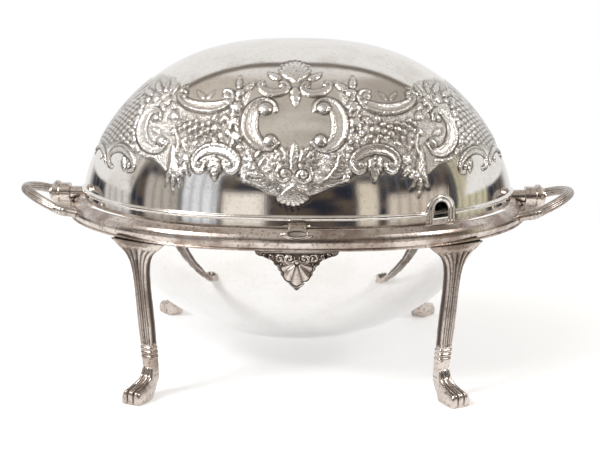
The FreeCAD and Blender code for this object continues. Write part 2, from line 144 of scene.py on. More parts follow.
def silver(name, metal, tarnish, roughness, wear, scratches, tarnish_and_shade_in_hollows, matted):
    """Silver plate: mottled tarnish, fine scratches, faint dents, and creases darkened with tarnish and
    painted shade.

    If its flag for dark recesses is set, the colour is darkened and roughened where the point attribute
    "hollow" is 1, in the recesses of worked metal, as tarnish and painted shade; matted adds a punched ground
    where the attribute "matte" is 1."""
    material = bpy.data.materials.new(name)
    tree, add = new_tree(material)
    position = add("ShaderNodeTexCoord").outputs["Object"]
    cloud = noise(add, position, 38.0, 5.0)
    spots = noise(add, position, 420.0, 4.0, 0.65)
    lines = noise(add, position, 900.0, 3.0, 0.6, (0.06, 1.0, 1.6))
    cross_lines = noise(add, position, 1100.0, 2.0, 0.6, (1.3, 0.9, 0.05))
    patches = product(add, ramp(add, cloud, 0.42, 0.72), wear)
    flecks = product(add, ramp(add, spots, 0.52, 0.66), wear * 0.75)
    share = math_node(add, "ADD", patches, flecks, clamp=True)
    colour = mix_colour(add, share, metal, tarnish)
    # Darker in creases found by pointiness: tarnish there, and painted shade standing in for the shadow in
    # the folds.
    edge = add("ShaderNodeNewGeometry").outputs["Pointiness"]
    crease_tarnish_and_shade = ramp(add, edge, 0.49, 0.43)
    colour = mix_colour(add, crease_tarnish_and_shade, colour, darker(tarnish, 0.35))
    rough = math_node(add, "ADD", ramp(add, cloud, 0.3, 0.8, roughness * 0.8, roughness * 1.35),
                      ramp(add, spots, 0.5, 0.8, 0.0, 0.12 * wear))
    bump_height = math_node(add, "ADD", product(add, lines, 0.6), product(add, cross_lines, 0.4))
    # Darker and rougher where the attribute "hollow" is high: tarnish in the recesses, and painted shade
    # standing in for their shadow.
    if tarnish_and_shade_in_hollows:
        depth = add("ShaderNodeAttribute", attribute_name="hollow").outputs["Fac"]
        colour = mix_colour(add, depth, colour, darker(tarnish, 0.3))
        rough = math_node(add, "ADD", rough, product(add, depth, 0.16))
    surface = add("ShaderNodeBump", {"Height": bump_height, "Strength": scratches, "Distance": 0.00012})
    swell = noise(add, position, 24.0, 2.0)
    surface = add("ShaderNodeBump", {"Height": swell, "Strength": 0.15, "Distance": 0.0012,
                                     "Normal": surface.outputs["Normal"]})
    if matted:
        share = add("ShaderNodeAttribute", attribute_name="matte").outputs["Fac"]
        cells = add("ShaderNodeTexVoronoi", {"Vector": position, "Scale": 1250.0}).outputs["Distance"]
        punched = product(add, cells, share)
        surface = add("ShaderNodeBump", {"Height": punched, "Strength": 0.85, "Distance": 0.0005,
                                         "Normal": surface.outputs["Normal"]})
        rough = math_node(add, "ADD", rough, product(add, share, 0.1))
    shader = add("ShaderNodeBsdfPrincipled", {"Base Color": colour, "Metallic": 1.0, "Roughness": rough,
                                              "Normal": surface.outputs["Normal"]})
    tree.links.new(shader.outputs[0], add("ShaderNodeOutputMaterial").inputs["Surface"])
    return material


# Slot: metal, tarnish, roughness, wear, scratches, dark recesses as tarnish and painted shade, matted ground.
SILVERS = {
    "worn_plate": ((0.66, 0.595, 0.545), (0.29, 0.225, 0.19), 0.2, 0.95, 0.6, True, False),
    "bright_plate": ((0.80, 0.795, 0.79), (0.68, 0.66, 0.64), 0.045, 0.35, 0.1, False, False),
    "inner_plate": ((0.86, 0.84, 0.80), (0.62, 0.56, 0.50), 0.16, 0.5, 0.25, False, False),
    "pin_metal": ((0.80, 0.74, 0.64), (0.50, 0.40, 0.28), 0.2, 0.6, 0.25, False, False),
    "chased_plate": ((0.84, 0.81, 0.77), (0.50, 0.43, 0.37), 0.085, 0.3, 0.15, True, True),
}
SLOT_MATERIAL = {slot: silver(slot, *look) for slot, look in SILVERS.items()}
CHASED_NODES = ("cover_shell", "cover_bead", "notch_border", "thumb_tab")


def slot_of(node):
    """The record's material slot of a CAD node."""
    if node in CHASED_NODES:
        return "chased_plate"
    if node.startswith("bowl"):
        return "bright_plate"
    if node.startswith(("pivot_pin", "washer")):
        return "pin_metal"
    if node.startswith(("liner", "drainer")):
        return "inner_plate"
    return "worn_plate"


for node_name, node_object in NODES.items():
    node_object.data.materials.clear()
    node_object.data.materials.append(SLOT_MATERIAL[slot_of(node_name)])


# ---------------------------------------------------------------- meshes


def add_piece(name, points, faces, body, slot, replaces, sharp_degrees):
    """A closed mesh from points in millimetres (z above the axis) that rides on a body."""
    mesh = bpy.data.meshes.new(name)
    points = (np.asarray(points, float) + [0, 0, AXIS_HEIGHT]) * MM
    mesh.from_pydata(points.tolist(), [], [list(map(int, face)) for face in faces])
    mesh.validate()
    mesh.shade_smooth()
    mesh.set_sharp_from_angle(angle=math.radians(sharp_degrees))
    mesh.materials.append(SLOT_MATERIAL[slot])
    piece = bpy.data.objects.new(name, mesh)
    bpy.context.scene.collection.objects.link(piece)
    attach(piece, body)
    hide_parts(*replaces)
    return piece


def set_field(piece, name, values):
    """Stores one number per point, for the piece's material to read; points past the last value get 0."""
    padded = np.zeros(len(piece.data.vertices), np.float32)
    padded[:np.size(values)] = np.ravel(values)
    piece.data.attributes.new(name, "FLOAT", "POINT").data.foreach_set("value", padded)


def sheet_faces(rows, columns):
    """A closed slab from two grids of rows x columns points, the first one on the outside."""
    count = rows * columns
    faces = []
    for i in range(rows - 1):
        for j in range(columns - 1):
            corner = i * columns + j
            quad = (corner, corner + columns, corner + columns + 1, corner + 1)
            faces.append(quad)
            faces.append(tuple(k + count for k in reversed(quad)))
    last_row = (rows - 1) * columns
    edge = list(range(columns))
    edge += [i * columns + columns - 1 for i in range(1, rows)]
    edge += [last_row + j for j in range(columns - 2, -1, -1)]
    edge += [i * columns for i in range(rows - 2, 0, -1)]
    for first, second in zip(edge, edge[1:] + edge[:1]):
        faces.append((first, second, second + count, first + count))
    return faces


def loft_faces(rings, ring_size):
    """Quads between successive closed rings of points, with an n-gon at each end."""
    faces = []
    for a in range(rings - 1):
        for k in range(ring_size):
            here, following = a * ring_size + k, a * ring_size + (k + 1) % ring_size
            faces.append((here, following, following + ring_size, here + ring_size))
    faces.append(tuple(reversed(range(ring_size))))
    faces.append(tuple((rings - 1) * ring_size + k for k in range(ring_size)))
    return faces


def bump(value, centre, width):
    """1 at centre, falling away to 0 either side of it."""
    return np.exp(-((value - centre) / width) ** 2)


def hermite(at, xs, ys, slopes):
    """The cubic through (xs, ys) with the given slopes, held to the ends' values outside them."""
    k = np.clip(np.searchsorted(xs, at, side="right") - 1, 0, len(xs) - 2)
    h = xs[k + 1] - xs[k]
    t = np.clip((at - xs[k]) / h, 0, 1)
    return (ys[k] * (1 + 2 * t) * (1 - t) ** 2 + h * slopes[k] * t * (1 - t) ** 2
            + ys[k + 1] * t * t * (3 - 2 * t) + h * slopes[k + 1] * t * t * (t - 1))


def smooth_between(at, xs, ys):
    """Monotone cubic through (xs, ys), so it never swings past them."""
    xs, ys = np.asarray(xs, float), np.asarray(ys, float)
    steps = np.diff(ys) / np.diff(xs)
    slopes = np.concatenate([steps[:1], np.zeros(len(xs) - 2), steps[-1:]])
    for k in range(1, len(xs) - 1):
        if steps[k - 1] * steps[k] > 0:
            slopes[k] = 2 / (1 / steps[k - 1] + 1 / steps[k])
    return hermite(at, xs, ys, slopes)


def smooth_line(at, xs, ys):
    """Catmull-Rom through (xs, ys)."""
    return hermite(at, xs, ys, np.gradient(ys, xs))


# ---------------------------------------------------------------- cover: shape

COVER_HALF_LENGTH = 150.0
COVER_RADIUS = float(node_box("cover_shell")[1][2])
COVER_WALL = 1.0
LENGTH_POWER = 2.55
RADIUS_POWER = 1.55
SKIRT_EDGE = float(node_box("cover_shell")[0][2])
HUB_HOLE = 4.5
NOTCH_X = 91.5
NOTCH_HALF_WIDTH = 6.0
NOTCH_SHOULDER = 5.7
NOTCH_TURN = math.radians(32)


def cover_radius(x, half_length=COVER_HALF_LENGTH, radius=COVER_RADIUS):
    share = np.clip(np.abs(x) / half_length, 0, 1)
    return radius * (1 - share ** LENGTH_POWER) ** (1 / RADIUS_POWER)


def on_cover(x, z):
    """The cover's front surface at (x, z) of its front elevation."""
    z = np.asarray(z, float)
    return np.stack([x, -np.sqrt(np.maximum(cover_radius(x) ** 2 - z ** 2, 0.0)), z], -1)


def profile_columns(spacing):
    """x of the cover's columns, evenly spaced along its outline from hub hole to hub hole."""
    x = COVER_HALF_LENGTH * np.sin(np.linspace(0, math.pi / 2, 4001))
    r = cover_radius(x)
    keep = r >= HUB_HOLE
    x, r = x[keep], r[keep]
    length = np.concatenate([[0], np.cumsum(np.hypot(np.diff(x), np.diff(r)))])
    half = np.interp(np.linspace(0, length[-1], int(length[-1] / spacing) + 1), length, x)
    return np.concatenate([-half[:0:-1], half])


COLUMN_SPACING = 0.68
BAND_LOW = math.radians(7.0)
BAND_HIGH = math.radians(67.0)
BAND_STEP = math.radians(0.37)
PLAIN_STEP = math.radians(1.7)
INNER_STRIDE = 6


def row_angles():
    """Angles about the axis, front skirt to rear skirt, close together in the chased bands."""
    low = np.arange(0, BAND_LOW, PLAIN_STEP)
    band = np.arange(BAND_LOW, BAND_HIGH, BAND_STEP)
    top = np.linspace(BAND_HIGH, math.pi / 2, int((math.pi / 2 - BAND_HIGH) / PLAIN_STEP) + 2)
    front = np.concatenate([low, band, top])
    return np.concatenate([front, math.pi - front[-2::-1]])


def notch_top(x):
    """Height of the spoon notch's edge above the axis, or the skirt edge away from the notch."""
    across = (x - NOTCH_X) / math.cos(NOTCH_TURN)
    arch = NOTCH_SHOULDER + np.sqrt(np.maximum(NOTCH_HALF_WIDTH ** 2 - across ** 2, 0.0))
    return np.where(np.abs(across) < NOTCH_HALF_WIDTH, arch, SKIRT_EDGE)


def cover_grid(x, radius, rows):
    """Angle about the axis of each grid point, from the skirt or notch edge over to the rear skirt."""
    skirt = np.arcsin(SKIRT_EDGE / radius)
    edge = np.arcsin(notch_top(x) / radius)
    blend_end = 2.2 * BAND_LOW
    angle = np.tile(rows, (len(x), 1))
    for side in (0, 1):
        local = angle if side == 0 else math.pi - angle
        start = edge if side == 0 else skirt
        end = np.where(start > 0, blend_end, math.pi / 2)[:, None]
        share = np.clip(local / end, 0, 1)
        moved = np.where(local < end, start[:, None] + share * (end - start[:, None]), local)
        front_half = angle <= math.pi / 2
        if side == 0:
            angle = np.where(front_half, moved, angle)
        else:
            angle = np.where(front_half, angle, math.pi - moved)
    return angle


def cover_surface(x, angle, half_length, radius):
    """Points and outward normals of a surface of revolution about the axis."""
    step = 0.01
    before, r, after = (cover_radius(x + offset, half_length, radius) for offset in (-step, 0, step))
    slope = (after - before) / (2 * step)
    cos, sin = np.cos(angle), np.sin(angle)
    points = np.stack([np.broadcast_to(x[:, None], angle.shape), -r[:, None] * cos, r[:, None] * sin], -1)
    normals = np.stack([np.broadcast_to(-slope[:, None], angle.shape), -cos, sin], -1)
    return points, normals / np.linalg.norm(normals, axis=-1, keepdims=True)


# ---------------------------------------------------------------- cover: chased ornament


def smooth_path(points, spacing=0.45):
    """A Catmull-Rom line through (x, z) points of the front elevation."""
    p = np.asarray(points, float)
    if len(p) == 2:
        p = np.stack([p[0], p.mean(0), p[1]])
    padded = np.concatenate([[2 * p[0] - p[1]], p, [2 * p[-1] - p[-2]]])
    line = []
    for a, b, c, d in zip(padded[:-3], padded[1:-2], padded[2:-1], padded[3:]):
        count = max(3, int(np.linalg.norm(c - b) * 1.3 / spacing))
        t = np.arange(count)[:, None] / count
        line.append(0.5 * (2 * b + (c - a) * t + (2 * a - 5 * b + 4 * c - d) * t ** 2
                           + (3 * b - a - 3 * c + d) * t ** 3))
    return np.concatenate(line + [p[-1:]])


GROOVE_REACH = 1.5
GROOVE_WIDTH = 0.45


class Chasing:
    """Height in millimetres of raised work over scattered surface points, motif by motif."""

    def __init__(self, points, normals):
        self.points = points
        self.normals = normals
        self.height = np.zeros(len(points))
        self.groove = np.zeros(len(points))

    def near(self, path, reach):
        low, high = path.min(0) - reach, path.max(0) + reach
        return np.flatnonzero(np.all((self.points > low) & (self.points < high), axis=1))

    def raise_to(self, index, height):
        self.height[index] = np.maximum(self.height[index], height)

    def cut(self, index, depth):
        self.groove[index] = np.maximum(self.groove[index], depth)

    def ball(self, x, z, radius, height, moat=0.5):
        centre = on_cover(np.array([x]), np.array([z]))
        index = self.near(centre, radius + GROOVE_REACH)
        distance = np.linalg.norm(self.points[index] - centre[0], axis=1) / radius
        self.raise_to(index, height * np.sqrt(np.clip(1 - distance ** 2, 0, 1)))
        self.cut(index, moat * bump(distance, 1.12, 0.16))

    def stroke(self, line, half_width, profile, moat, outline=None):
        """profile(across, along) over a band that follows line; half_width may vary along it.

        outline(along) is the share of the band's width that the groove round it follows."""
        line = on_cover(line[:, 0], line[:, 1])
        share = np.linspace(0, 1, len(line))
        half_width = np.atleast_1d(half_width)
        width = np.interp(share, np.linspace(0, 1, len(half_width)), half_width)
        index = self.near(line, width.max() + GROOVE_REACH)
        offset = self.points[index][:, None, :] - line[None, :, :]
        squared = (offset ** 2).sum(-1)
        nearest = squared.argmin(1)
        rows = np.arange(len(index))
        tangent = np.gradient(line, axis=0)
        tangent /= np.linalg.norm(tangent, axis=1, keepdims=True) + 1e-9
        side = np.cross(self.normals[index], tangent[nearest])
        lateral = (offset[rows, nearest] * side).sum(1)
        distance = np.sqrt(squared[rows, nearest])
        lateral = np.where(lateral < 0, -distance, distance)
        across = lateral / width[nearest]
        along = nearest / (len(line) - 1)
        inside = np.abs(across) <= 1
        self.raise_to(index, np.where(inside, profile(np.clip(across, -1, 1), along), 0))
        edge = width[nearest] * (1.0 if outline is None else outline(along))
        self.cut(index, moat * bump(distance - edge, 0.8 * GROOVE_WIDTH, GROOVE_WIDTH))

    def rope(self, path, half_width, height, moat=0.4):
        """A plain rounded band."""
        def profile(across, along):
            return height * np.sqrt(1 - across ** 2)
        self.stroke(smooth_path(path), half_width, profile, moat)

    def scroll(self, path, half_width, height=1.7, outer_side=1):
        """A moulded scroll band: heavy outer rim, flat channel, one thin inner line."""
        def profile(across, along):
            u = across * outer_side
            rim = height * np.sqrt(np.clip(1 - ((u - 0.72) / 0.28) ** 2, 0, 1))
            channel = height * (0.36 + 0.12 * u)
            line = 0.66 * height * np.sqrt(np.clip(1 - ((u + 0.8) / 0.2) ** 2, 0, 1))
            return np.maximum.reduce([rim, channel, line])
        self.stroke(smooth_path(path), half_width, profile, 0.6)

    def volute(self, x, z, radius, turns, start, direction, height=1.7, ball=0.42):
        """A spiral that winds in to a ball; start is the outer end's angle in degrees."""
        steps = max(12, int(26 * turns))
        share = np.linspace(0, 1, steps)
        angle = math.radians(start) + direction * share * turns * 2 * math.pi
        size = radius * (1 - 0.68 * share)
        tilt = math.sqrt(max(0.12, 1 - (z / float(cover_radius(np.array(x)))) ** 2))
        line = np.stack([x + size * np.cos(angle), z + size * np.sin(angle) * tilt], -1)
        widths = radius * np.linspace(0.24, 0.14, 5)

        def profile(across, along):
            return height * (1 - 0.2 * along) * np.sqrt(1 - across ** 2)
        self.stroke(line, widths, profile, 0.35)
        self.ball(x, z, radius * ball, height * 1.1, moat=0.3)

    def leaf(self, base, tip, width, bend=0.0, lobes=4, height=1.5):
        """A veined leaf with a scalloped edge, curved sideways by bend."""
        base, tip = np.asarray(base, float), np.asarray(tip, float)
        along_line = tip - base
        normal = np.array([-along_line[1], along_line[0]])
        middle = (base + tip) / 2 + normal * bend
        t = np.linspace(0, 1, max(12, int(np.linalg.norm(along_line) * 3)))[:, None]
        line = (1 - t) ** 2 * base + 2 * t * (1 - t) * middle + t ** 2 * tip

        def outline(along):
            return np.clip(np.sin(math.pi * np.clip(along, 0.02, 0.99) ** 0.68), 0, 1) ** 0.85

        def profile(across, along):
            scallop = 1 - 0.3 * np.abs(np.sin(math.pi * lobes * (along - 0.22 * np.abs(across))))
            u = np.abs(across) / np.maximum(outline(along) * scallop, 0.05)
            body = np.clip(1 - u ** 2, 0, 1) ** 0.5
            vein = 0.84 + 0.16 * np.cos(2 * math.pi * lobes * (along - 0.3 * np.abs(across)))
            rib = 1 - 0.5 * np.exp(-(across / 0.14) ** 2)
            return height * body * vein * rib
        self.stroke(line, width, profile, 0.5, outline)

    def around(self, x, z, reach, stretch=1.0):
        """Points near (x, z), with their distance and direction from it in the surface's own plane."""
        centre = on_cover(np.array([x]), np.array([z]))
        index = self.near(centre, reach * max(1.0, stretch))
        offset = self.points[index] - centre[0]
        right = np.cross(np.array([0, 0, 1.0]), self.normals[index])
        right /= np.linalg.norm(right, axis=1, keepdims=True)
        up = np.cross(self.normals[index], right)
        across, rise = (offset * right).sum(1), (offset * up).sum(1) / stretch
        return index, np.hypot(across, rise), np.arctan2(rise, across)

    def fan(self, x, z, radius, direction, spread, lobes, height=1.5, stretch=1.0):
        """A shell of rays that open from (x, z) over spread degrees about direction.

        stretch lengthens it up the cover's curve, so that it looks round from the front."""
        index, distance, bearing = self.around(x, z, radius * 1.15, stretch)
        turn = ((np.degrees(bearing) - direction + 180) % 360 - 180) / spread
        ray = np.abs(np.cos(math.pi * lobes * turn))
        edge = radius * (0.84 + 0.16 * ray)
        share = np.clip(distance / edge, 0, 1)
        body = (1 - 0.3 * share) * np.clip(1 - share ** 3, 0, 1) ** 0.7
        inside = (np.abs(turn) < 0.5) & (distance < edge)
        self.raise_to(index, np.where(inside, height * body * (0.5 + 0.5 * ray ** 0.8), 0))
        self.cut(index, np.where(np.abs(turn) < 0.52, 0.6 * bump(distance, edge * 1.04, 0.5), 0))
        self.cut(index, np.where(inside & (share > 0.25), 0.5 * np.clip(1 - 5 * ray, 0, 1), 0))

    def flower(self, x, z, radius, petals=5, height=1.6, turn=0.0):
        """Cupped petals about a small ball."""
        index, distance, bearing = self.around(x, z, radius + GROOVE_REACH)
        ray = np.abs(np.cos(petals / 2 * (bearing + math.radians(turn))))
        u = distance / (radius * (0.68 + 0.32 * ray ** 0.6))
        cup = np.sin(math.pi * np.clip(u, 0, 1) ** 0.8) ** 0.7
        self.raise_to(index, np.where(u < 1, height * cup * (0.55 + 0.45 * ray), 0))
        self.cut(index, 0.45 * bump(u, 1.12, 0.12))
        self.ball(x, z, radius * 0.3, height, moat=0.3)


def chase_centre(work):
    """The cartouche, its shell crest and the rosette and leaves under it."""
    work.scroll([(12.8, 68.6), (14.4, 72.4), (19.8, 73.6), (25.3, 70.4), (28.2, 65), (28.6, 58),
                 (26.3, 52.4), (21.6, 48.2), (15.8, 47.2), (11.8, 50.0)],
                [1.5, 2.6, 4.4, 5.1, 5.1, 4.4, 2.9, 1.6], height=1.9)
    work.ball(18.4, 69.8, 4.3, 2.1)
    work.ball(15.8, 51.2, 3.8, 2.1)
    work.scroll([(8.8, 84.6), (6.2, 84.4), (5.0, 82.0), (7.2, 79.6), (12.2, 78.4), (17.4, 79.2), (21.0, 81.4),
                 (22.4, 83.8), (20.6, 84.8)], [1.0, 2.0, 2.8, 2.9, 2.1, 1.1], outer_side=-1)
    work.ball(7.8, 82.8, 1.7, 1.7)
    work.ball(20.0, 83.4, 1.5, 1.6)
    work.fan(0, 84.6, 12.4, 90, 128, 9, stretch=1.75)
    work.leaf((9.0, 86.8), (17.4, 90.4), 3.0, bend=-0.12)
    work.leaf((0, 81.6), (0, 70.4), 3.4, lobes=3, height=1.2)
    for step in range(4):
        work.ball(2.8 + 2.0 * step, 79.4 - 0.7 * step, 0.9, 1.0, moat=0.3)
    work.leaf((0, 32.6), (0, 50.4), 4.2, lobes=5, height=1.7)
    for x, z, bend, width in ((4.6, 47.4, -0.1, 1.9), (9.2, 48.4, 0.22, 2.2), (14.6, 46.6, 0.26, 2.3),
                              (16.6, 41.6, 0.24, 2.3), (16.4, 36.4, 0.2, 2.1), (12.4, 43.4, -0.16, 1.7)):
        work.leaf((2.6 + 0.25 * x, 34.6), (x, z), width, bend=bend, lobes=4, height=1.4)
    work.volute(6.2, 30.8, 5.6, 1.35, 110, -1, height=1.8)
    work.fan(0, 25.6, 14.4, -90, 96, 7)
    work.volute(9.4, 21.6, 2.6, 1.1, 60, -1, height=1.2)
    stem = [(27.2, 43), (26.2, 36.5), (22.2, 30.5), (16.4, 26.2), (9.6, 25.2)]
    work.rope(stem, [0.5, 0.9, 1.0, 0.9, 0.5], 1.1)
    for base, tip, bend, width in (
            ((22.8, 32.6), (32.6, 35.8), 0.12, 2.6), ((24.8, 35.4), (33.2, 40.4), 0.1, 2.3),
            ((26.2, 38.4), (31.2, 44.8), 0.1, 2.0), ((20.6, 30.2), (30.6, 31.4), -0.1, 2.4),
            ((22.4, 35), (18.2, 40.8), -0.14, 1.7), ((24.6, 40), (20.4, 46), -0.12, 1.7),
            ((19, 32), (14.4, 33.6), 0.2, 1.5), ((14.6, 25.4), (27.6, 26.4), -0.16, 1.9),
            ((18.4, 27.6), (35.4, 29.2), -0.2, 1.4), ((12, 24.6), (20.4, 22.6), -0.1, 1.3)):
        work.leaf(base, tip, width, bend=bend, height=1.15)
    work.flower(31.4, 28.6, 2.3, 5)


def chase_middle(work):
    """The flower columns, the upper and lower scrolls and the fruit between them."""
    work.ball(35.6, 78.4, 3.3, 1.9)
    work.leaf((34, 80), (25.6, 85.2), 2.8, bend=0.14, lobes=3)
    work.leaf((36, 81), (36.4, 88), 2.2, bend=-0.1, lobes=3)
    for x, z, petals in ((37.4, 70.6, 6), (38.8, 61.6, 5), (36.6, 52.6, 6)):
        work.flower(x, z, 4.7, petals, height=1.9)
        work.leaf((x + 3.2, z + 1.2), (x + 8.4, z + 3.4), 2.0, bend=0.12, lobes=2)
        work.leaf((x + 1.0, z - 3.0), (x + 4.6, z - 6.2), 1.8, bend=-0.1, lobes=2)
        work.leaf((x - 1.6, z + 3.2), (x + 1.2, z + 6.4), 1.8, bend=0.1, lobes=2)
    work.ball(34.0, 46.2, 2.4, 1.6)
    work.scroll([(45.4, 79.4), (42.4, 78.8), (41.4, 75.8), (45, 72.0), (52, 69.6), (60, 68.9), (67.8, 70),
                 (73.2, 72.4), (75.4, 75.4), (73.6, 77.6), (71.2, 77)],
                [1.4, 2.6, 3.9, 4.3, 4.2, 3.6, 2.4, 1.4], height=1.9, outer_side=-1)
    work.ball(44.8, 76.8, 2.3, 1.8)
    work.ball(72.2, 75.0, 2.1, 1.8)
    work.leaf((58, 74.5), (52.4, 79.6), 1.8, bend=0.1, lobes=2, height=0.5)
    work.leaf((59, 74.5), (64.4, 79.4), 1.8, bend=-0.1, lobes=2, height=0.5)
    work.scroll([(44, 36.8), (42.8, 33.8), (39.4, 32.6), (36.6, 35.4), (37.4, 40.2), (42.8, 44.2),
                 (50.6, 45.7), (58.2, 44), (63.2, 39.8), (63.6, 35.2), (61.2, 32.4), (58, 33.4),
                 (57.2, 36.4)],
                [1.1, 1.9, 2.8, 3.3, 3.3, 2.8, 1.9, 1.1], height=1.8)
    work.ball(40.8, 36.2, 2.1, 1.7)
    work.ball(60.4, 35.8, 2.1, 1.7)
    work.leaf((50.6, 40.6), (49.8, 26.5), 4.2, lobes=4)
    work.leaf((48.6, 40), (45.6, 31.5), 2.2, bend=0.12, lobes=2)
    work.leaf((52.4, 40), (54.8, 31.5), 2.2, bend=-0.12, lobes=2)
    fruit = ((50.4, 57.2, 3.3), (55, 60.2, 2.0), (55.4, 56, 2.3), (59.2, 58.4, 2.1), (59.8, 54.2, 2.4),
             (63.6, 60.6, 1.9), (64, 56.8, 2.3), (67.6, 59.2, 2.0), (67.8, 55, 2.2), (71.2, 57.4, 2.2),
             (71.6, 61.4, 1.8), (74.8, 59.4, 1.9), (63, 51.6, 1.9), (57.2, 51.6, 1.9), (74.4, 55.4, 1.8),
             (67.2, 51.4, 1.7), (53, 53, 1.7))
    for x, z, radius in fruit:
        work.ball(x, z, radius, 1.7)
    for base, tip, bend in (((48, 60), (44.4, 65.6), 0.1), ((52, 61.6), (50.4, 66.6), -0.1),
                            ((47.6, 54.6), (43.6, 50.6), 0.12), ((52, 51.4), (48.4, 48.6), 0.1),
                            ((70.4, 50.4), (73.8, 46.4), 0.1), ((77, 56), (81.6, 52.6), -0.1),
                            ((76.6, 62), (80.2, 66.6), 0.1), ((62, 48.8), (66.8, 46.2), 0.1)):
        work.leaf(base, tip, 2.3, bend=bend, lobes=3)


def chase_side(work):
    """The side scrolls, pendants, upper leaves and the scrolls towards the pivots."""
    work.scroll([(88.2, 60.8), (88.6, 64.2), (92, 65.6), (97, 62.6), (100.2, 56.8), (100.6, 50.2),
                 (97.4, 44.6), (91.6, 42.2), (86.4, 43.6), (83.2, 47.6)],
                [1.4, 2.4, 4.0, 4.7, 4.6, 3.8, 2.5, 1.5], height=1.9)
    work.ball(91.2, 61.6, 2.9, 2.0)
    work.ball(86.6, 47.6, 3.3, 2.0)
    work.leaf((93, 55), (86.4, 52.6), 2.0, bend=0.1, lobes=2, height=1.0)
    for tip, bend, width in (((72.6, 20.4), 0.1, 2.6), ((77.6, 15.4), 0.0, 3.2), ((83.6, 20.2), -0.1, 2.6)):
        work.leaf((78.6, 45.5), tip, width, bend=bend, lobes=5, height=1.3)
    work.rope([(77, 54), (75.4, 48.5), (76.8, 42), (81, 36)], [0.6, 1.1, 1.2, 0.8], 1.2)
    work.flower(69.6, 38.8, 3.5, 5, turn=20)
    work.flower(73.4, 30.6, 3.1, 5)
    work.leaf((70, 44), (74.4, 50.4), 2.0, bend=0.1, lobes=2)
    work.leaf((71.5, 35.6), (67.0, 28.8), 2.2, bend=0.1, lobes=3)
    for step in range(8):
        work.ball(88.4 + 2.2 * step, 37.4 - 0.5 * step + 0.09 * step ** 2, 1.15, 1.0, moat=0.35)
    for x, z, radius, petals in ((84.2, 71.4, 4.0, 5), (92.6, 72.2, 3.8, 6), (80, 62.8, 2.8, 5),
                                 (103.6, 63.4, 3.2, 5), (106.4, 46.2, 3.2, 5), (98.6, 70.6, 2.8, 5)):
        work.flower(x, z, radius, petals, height=1.7)
    for base, tip, bend in (((82, 75), (76.6, 82.8), 0.14), ((86, 76), (84.4, 84), -0.1),
                            ((90, 76.4), (94.4, 81.8), -0.12), ((80.4, 71), (77.4, 67), 0.1),
                            ((88, 70.4), (84.4, 65.4), 0.12), ((96, 73.6), (103, 75.4), 0.1),
                            ((101.6, 66), (104.6, 71.6), 0.1), ((105, 60.6), (106.8, 54), -0.1),
                            ((79, 76), (71.4, 81.4), 0.12), ((104.4, 43), (101.4, 38.4), 0.1)):
        work.leaf(base, tip, 2.6, bend=bend, lobes=3)
    work.scroll([(109.4, 27.4), (106.2, 28.4), (105.8, 32.4), (109, 37), (115, 39.8), (121.2, 38.2),
                 (124.8, 33.6), (124.6, 29), (122, 27.6)], [1.0, 1.9, 2.6, 2.7, 2.6, 1.9, 1.0])
    work.ball(109.2, 30.6, 1.9, 1.6)
    work.leaf((113.6, 35), (112, 26.4), 2.6, lobes=3)
    end_scroll = [(127.6, 29.4), (129.4, 34.4), (133.4, 37), (137.4, 34.4), (138.6, 31)]
    work.rope(end_scroll, [0.8, 1.6, 1.8, 1.6, 0.8], 1.6)
    work.ball(131.8, 31.6, 1.7, 1.5)


# Outlines of the matted ground and of the netted ends, in (x, z) of one quarter's front elevation.
GROUND_OUTLINE = ((0, 16), (14, 20), (30, 27), (38, 38), (50, 48), (62, 45), (68, 34), (76, 27), (82, 30),
                  (90, 36), (104, 38), (108, 40), (119, 43), (127, 38), (133, 40), (141, 36), (150, 33),
                  (150, 110), (122, 66), (104, 78), (92, 84), (80, 84), (76, 77), (72, 71), (60, 65),
                  (46, 70), (40, 79), (34, 84), (28, 80), (33, 66), (32, 55), (22, 44), (10, 45), (0, 46))
NET_OUTLINE = ((100, 80), (104, 58), (106, 50), (108, 42), (119, 44), (127, 40), (133, 41), (141, 38),
               (150, 33), (150, 110))
NET_RADIUS = 109
NET_CELL = 4.4
SMALL = 1e-9


def polygon_cover(x, z, outline, softness):
    """1 inside a closed outline in the front elevation, fading to 0 over softness outside it."""
    outline = np.asarray(outline, float)
    inside = np.zeros(x.shape, bool)
    distance = np.full(x.shape, np.inf)
    for (x1, z1), (x2, z2) in zip(outline, np.roll(outline, -1, axis=0)):
        run, rise = x2 - x1, z2 - z1
        crosses = (z1 > z) != (z2 > z)
        inside ^= crosses & (x < run * (z - z1) / (rise + 1e-12) + x1)
        t = np.clip(((x - x1) * run + (z - z1) * rise) / (run ** 2 + rise ** 2 + SMALL), 0, 1)
        distance = np.minimum(distance, np.hypot(x - x1 - t * run, z - z1 - t * rise))
    return np.where(inside, 1.0, np.clip(1 - distance / softness, 0, 1))


def scale_pattern(points):
    """Netted fill round the ends of the cover: height of its raised diamonds, depth of the lines between."""
    x, y, z = points.T
    radius = np.hypot(y, z)
    length = np.hypot(x - 100, NET_RADIUS - radius) / NET_CELL
    angle = np.arctan2(z, -y) * (18 + 0.82 * radius) / NET_CELL
    cell = np.abs(np.sin(math.pi * (length + angle) / 1.5) * np.sin(math.pi * (length - angle) / 1.5))
    netted = polygon_cover(x, z, NET_OUTLINE, 0.5) > 0.5
    return np.where(netted, 0.9 * cell ** 0.5, 0), np.where(netted, 0.9 * (1 - cell) ** 5, 0)


def hand_waver(points, side):
    """Small wandering offsets, different in each quarter, as work chased by hand has."""
    x, y, z = points.T
    return np.stack([0.55 * np.sin(x / 9.3 + z / 13.1 + side), np.zeros_like(y),
                     0.5 * np.sin(x / 11.7 - z / 8.9 + 1.7 * side)], -1)


def soften(field):
    """A light blur across the grid, which takes the stairs off slanting edges."""
    for axis in (0, 1):
        field = 0.2 * np.roll(field, 1, axis) + 0.6 * field + 0.2 * np.roll(field, -1, axis)
    return field


ORNAMENT_SHIFT = -2.2
RELIEF_SCALE = 0.82


